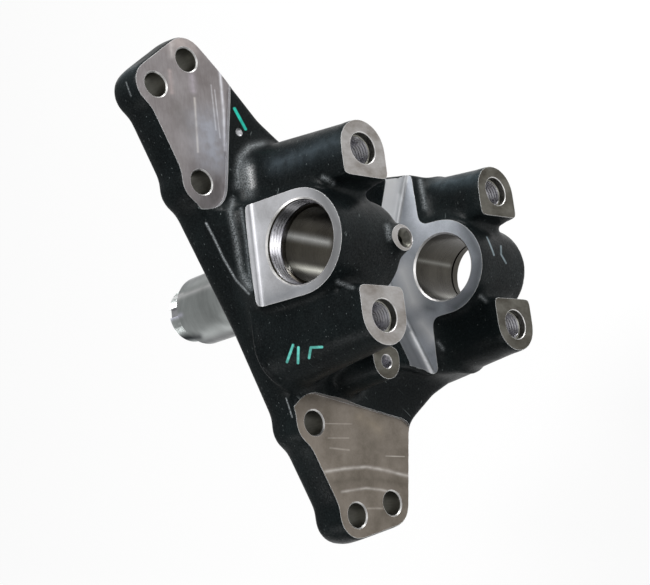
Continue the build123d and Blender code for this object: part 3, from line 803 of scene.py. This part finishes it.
PAD_B_MARKS = pad_lines([
    ("#4f4940", 0.7, 6.0, 6.0, [(-167.5, 8.0), (-166.0, -20.0), (-167.5, -42.0), (-172.5, -70.0)]),
    ("#4f4940", 0.6, 10.0, 9.0, [(-186.0, -58.0), (-196.0, -40.0)]),
    ("#4f4940", 0.5, 10.0, 9.0, [(-140.0, -40.0), (-152.0, -60.0)]),
    ("#938878", 0.6, 10.0, 9.0, [(-118.0, -30.0), (-128.0, -50.0)]),
    ("#c9c4bf", 0.75, 2.6, 1.9,
     [(-158.9, 13.5), (-157.4, -7.3), (-157.0, -29.9), (-160.4, -50.2), (-166.3, -75.1)]),
    ("#c9c4bf", 0.65, 2.0, 1.5, [(-174.9, -1.5), (-173.4, -27.1), (-175.6, -43.1), (-180.0, -62.0)]),
    ("#c4bdb5", 0.6, 0.7, 0.6, [(-122.2, 8.9), (-123.1, -20.5)]),
    ("#c4bdb5", 0.6, 0.7, 0.6, [(-133.4, 6.4), (-134.0, -15.5)]),
    ("#c4bdb5", 0.5, 1.2, 1.0, [(-141.1, 5.6), (-143.3, -14.0)]),
    ("#d8d2ca", 0.7, 0.8, 0.6, [(-149.4, -53.2), (-150.6, -74.0)]),
    ("#c4bdb5", 0.5, 1.5, 1.2, [(-189.0, -26.0), (-190.0, -42.0)]),
])


def kp_line(tint, share, width, soft, x, out, s_from, s_to):
    """A soft band running along the kingpin bore."""
    return (tint, share, width, soft, [tuple(kp(s, out, x)) for s in (s_from, s_to)])


def kp_across(tint, share, width, soft, s, points):
    """A soft band on a face square to the kingpin, through (x, out) points."""
    return (tint, share, width, soft, [tuple(kp(s, out, x)) for x, out in points])


# Painted reflections and painted shade on the machined faces and bores, as lighter and darker bands
FACE_PAINTED_LIGHT = [
    kp_across("#5f6061", 0.9, 26.0, 17.0, UPPER_FACE, [(38, -22), (0, -37), (-38, -20)]),
    kp_across("#7f8388", 0.7, 14.0, 11.0, UPPER_FACE, [(-36, 34), (-34, 0)]),
    kp_across("#6a6c6f", 0.8, 2.0, 2.5, UPPER_FACE + 2, [(-40, 42), (40, 42)]),
]
# Painted light on the gap's floor near its wall, where the upper boss shades it, and painted shade at its
# front
FLOOR_PAINTED_LIGHT = [
    kp_across("#ffffff", 1.0, 18.0, 14.0, LOWER_FACE, [(6, 40), (-22, 33)]),
    kp_across("#ffffff", 0.9, 12.0, 11.0, LOWER_FACE, [(-42, 27), (-56, 18)]),
    kp_across("#44494e", 0.9, 16.0, 12.0, LOWER_FACE, [(30, -26), (0, -38), (-26, -28), (-36, -8)]),
    kp_across("#5a5f65", 0.7, 6.0, 6.0, LOWER_FACE, [(-30, 20), (-33, 14)]),
]
WALL_PAINTED_LIGHT = [
    kp_across("#ffffff", 1.0, 3.0, 3.0, -104.5, [(70, 30), (46, 40)]),
    kp_across("#5c5f63", 0.8, 8.0, 6.0, -98, [(-84, 24), (-48, 38)]),
    kp_across("#ffffff", 0.9, 2.4, 2.2, -107.6, [(-48, 38), (-84, 24)]),
    kp_across("#3f4347", 0.9, 4.0, 4.0, -107.0, [(86, 23), (72, 29)]),
    kp_across("#ffffff", 0.8, 24.0, 10.0, -92, [(85, 24), (30, 44)]),
    kp_across("#5c5f63", 0.8, 12.0, 9.0, -88, [(-80, 26), (-30, 44)]),
]
BORE_PAINTED_LIGHT = [
    kp_line("#cfd0ce", 0.75, 5.0, 5.0, 13.0, 24.2, 54, 8),
    kp_line("#f0efe4", 0.9, 5.0, 4.0, -10.7, 25.4, 54, 6),
    kp_line("#8f8f8a", 0.7, 3.0, 3.0, 12.2, 24.6, -113, -160),
    kp_line("#a5a49c", 0.7, 5.0, 4.0, -18.0, 20.8, -113, -160),
]
CAP_PAINTED_LIGHT = [
    kp_line("#2c2c2b", 0.9, 26.0, 9.0, 28.0, 12.0, 74, 55),
    kp_line("#ffffff", 0.7, 8.0, 6.0, 6.0, 30.0, 74, 55),
    kp_line("#ffffff", 0.6, 6.0, 5.0, -16.0, 26.0, 74, 55),
]
AXIAL = (TILT, 0, 0)      # turn of a texture so that its Z runs along the kingpin
MATERIALS = {
    "paint": black_paint(INK, WEAR_AND_HIGHLIGHTS, PAINTED_SHEEN),
    # Face-milled by a large cutter: stained brown-grey, crossed by its sweeps
    "pad_a": steel("milled_pad_front", "#6b6564", "#949091", (5, 1, 1), metal=0.8, contrast=0.7,
                   lines=PAD_A_MARKS_AND_HIGHLIGHT, patchy=True),
    "pad_b": steel("milled_pad_rear", "#615a51", "#857d74", size=20.0, metal=0.8, contrast=1.2,
                   lines=PAD_B_MARKS, patchy=True),
    # Finely milled ends of the kingpin bosses: pale and satin, with darker painted reflections in broad bands
    "face": steel("milled_face", "#9c9c9e", "#c4c5c9", (1, 1, 4), size=40.0, rough=0.5, contrast=0.6,
                  lines=FACE_PAINTED_LIGHT),
    # Milled floor of the gap, with painted light and painted shade laid on
    "floor": steel("milled_floor", "#8a8f96", "#c2c7cf", size=40.0, rough=0.5, metal=0.2, lines=FLOOR_PAINTED_LIGHT),
    # Milled with the side of the cutter: fine strokes along the kingpin, with painted reflections and painted
    # shade in bands
    "wall": steel("milled_wall", "#85878a", "#babdc2", (1, 1, 6), size=20.0, rough=0.5, metal=0.6,
                  lines=WALL_PAINTED_LIGHT),
    # Spot-faced bosses: small swirls of light and dark, duller and oily on the lower ones
    "boss": steel("faced_boss", "#77716b", "#adabaa", (1, 1, 2), size=12.0, rough=0.48, metal=0.8,
                  contrast=1.5),
    "boss_low": steel("faced_boss_low", "#363229", "#6b6962", (1, 1, 2), size=11.0, rough=0.48, metal=0.8,
                      contrast=1.5),
    # Bored round the kingpin: a dark mirror, with long bright bands that are painted reflections
    "bore": steel("bored_wall", "#2b2823", "#4c4942", (14, 14, 1), AXIAL, rough=0.3, size=9.0, fine=0.9,
                  contrast=0.6, lines=BORE_PAINTED_LIGHT, edge=0),
    # Drilled: greyer, with rings
    "drilled": steel("drilled_wall", "#5d5c56", "#98978f", (1, 6, 1), rough=0.4, size=9.0, edge=0),
    # Fresh threads and chamfers: the brightest lines on the part
    # The cap's thread carries painted reflections and a band of painted shade
    "thread": steel("cut_thread", "#98969c", "#f0f0f6", rough=0.3, size=9.0, lines=CAP_PAINTED_LIGHT, edge=0),
    "edge": steel("chamfer", "#c0bfbd", "#f4f3f2", rough=0.4, size=8.0, edge=0),
}

knuckle = forging()
cut(knuckle, cutters())
sharpen(knuckle)
knuckle.name = "knuckle_forging"
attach(knuckle, "root")
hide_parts("steering_knuckle")


# Spindle: the stub axle of the same forging, turned and ground bright. It has two seats for the hub's
# taper bearings, and a thread for the hub nut with a slot for its lock washer.
# Painted highlights along the spindle and its collar, painted shade along its lower side and a darker painted
# band on top
SPINDLE_PAINTED_LIGHT = [
    ("#ffffff", 0.9, 4.0, 3.5, [(9.6, 201, 28.4), (9.6, 110, 28.4)]),
    ("#ffffff", 0.9, 2.5, 2.0, [(14.2, 222, 19.3), (14.2, 202, 19.3)]),
    ("#eeeeff", 0.9, 4.0, 3.0, [(-4.5, 222, 23.6), (-4.5, 202, 23.6)]),
    ("#2c3033", 0.95, 10.0, 5.0, [(-30, 200, 6.0), (-30, 150, 2.0)]),
    ("#2c3033", 0.95, 8.0, 4.0, [(-21, 222, 11.0), (-23.5, 202, 6.0)]),
    ("#4a4e51", 0.9, 8.0, 5.0, [(22.0, 200, 21.0), (24.0, 140, 20.0)]),
]
# Ground steel, bright and round the axis: painted reflections along it break at each seat, painted shade
# below
MATERIALS["turned"] = steel("turned_spindle", "#989d9b", "#c4c9c8", (12, 1, 12), rough=0.34, size=14.0,
                            contrast=0.6, lines=SPINDLE_PAINTED_LIGHT, edge=0)


def spindle():
    """The spindle as one turned piece, from inside the flange through its seats to the threaded end."""
    smooth = [(0, 80), (56, 80), (56, 84.5), (54, 87.5), (51, 89.8), (48.6, 91.6), (48, 93.5), (48, 97),
              (47, 98), (40.5, 98), (38.6, 98.9), (37.5, 101), (37.5, 134), (30.6, 142), (30.6, 160),
              (30, 161), (30, 200), (29, 201), (23, 201), (23, 204)]
    screw = [(24, 204.5 + 0.25 * k) for k in range(1, 63)]
    tail = [(22.5, 221.5), (4, 221.5), (0, 213.5)]
    ob = lathe("spindle", smooth + screw + tail, (0, 0, 0), (0, 1, 0), "turned", 96,
               thread(lambda r, h: r == 24, 1.5, -0.6))
    cut(ob, [block("slot", (-4, 200.5, 20.5), (4, 224, 34), "face")])
    sharpen(ob)
    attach(ob, "root")


spindle()


# Camera, light and stage: the camera of the photo, soft panels round it, and a white paper sweep. EYE
# is the camera's place, and RIGHT, DOWN and AHEAD are its own axes, all in the part's frame.
EYE = Vector((-0.2226, -0.6671, 0.6646))
RIGHT = Vector((-0.1177, -0.6595, -0.7425))
DOWN = Vector((-0.9721, 0.2293, -0.0496))
FOCAL = 1272.243      # pixels
PHOTO_WIDTH = 650

scene = bpy.context.scene
scene.view_settings.view_transform = "Standard"
camera = bpy.data.objects.new("camera", bpy.data.cameras.new("camera"))
camera.data.sensor_width = 36.0
camera.data.lens = camera.data.sensor_width * FOCAL / PHOTO_WIDTH
camera.matrix_world = Matrix([[*v] for v in zip(RIGHT, -DOWN, -AHEAD)]).to_4x4()
camera.location = EYE
camera.data.clip_start = 0.05
scene.collection.objects.link(camera)
scene.camera = camera

middle = (cad_low + cad_high) / 2


def lamp(name, right, up, near, size, power):
    """Soft panel placed as seen from the camera, facing the part."""
    light = bpy.data.lights.new(name, "AREA")
    light.shape = "RECTANGLE"
    light.size, light.size_y = size
    light.energy = power
    ob = bpy.data.objects.new(name, light)
    ob.location = middle + RIGHT * right - DOWN * up - AHEAD * near
    ob.rotation_mode = "QUATERNION"
    ob.rotation_quaternion = (middle - ob.location).to_track_quat("-Z", "Y")
    scene.collection.objects.link(ob)


# Each is so many metres to the right of the part, above it and nearer than it, in the camera's view
lamp("key", -1.1, 1.0, 0.9, (0.6, 0.6), 26)
lamp("fill", 0.9, 0.3, 1.4, (1.2, 1.2), 10)
lamp("top", 0.2, 1.6, 0.0, (1.2, 0.5), 14)
lamp("low", -0.8, -1.2, 0.5, (0.8, 0.5), 7)


def pale_floor():
    """White paper sweep: plain white to the camera and in reflections, with the shadow kept."""
    mat, shader = material("pale_floor", Base_Color=srgb("#f2f2f2"), Roughness=0.9)
    seen = node(mat, "LightPath", out="Is Camera Ray")
    for ray in ("Is Glossy Ray", "Is Transmission Ray"):
        seen = node(mat, "Math", [(0, seen), (1, node(mat, "LightPath", out=ray))], operation="ADD")
    share = node(mat, "Math", [(0, seen), (1, 0.88)], operation="MULTIPLY")
    white = node(mat, "Emission", [("Color", "#ffffff"), ("Strength", 1.0)])
    both = node(mat, "MixShader", [(0, share), (1, shader.outputs[0]), (2, white)])
    mat.node_tree.links.new(both, mat.node_tree.nodes["Material Output"].inputs["Surface"])
    return mat


far, below = 4000, -420
corners = [(x, y, below) for x, y in ((-far, -far), (far, -far), (far, far), (-far, far))]
floor = mesh_object("floor", corners, [[0, 1, 2, 3]])
floor.data.materials.clear()
floor.data.materials.append(pale_floor())

world = bpy.data.worlds.new("world")
scene.world = world
world.use_nodes = True
world.node_tree.nodes["Background"].inputs["Color"].default_value = (1, 1, 1, 1)
world.node_tree.nodes["Background"].inputs["Strength"].default_value = 0.35
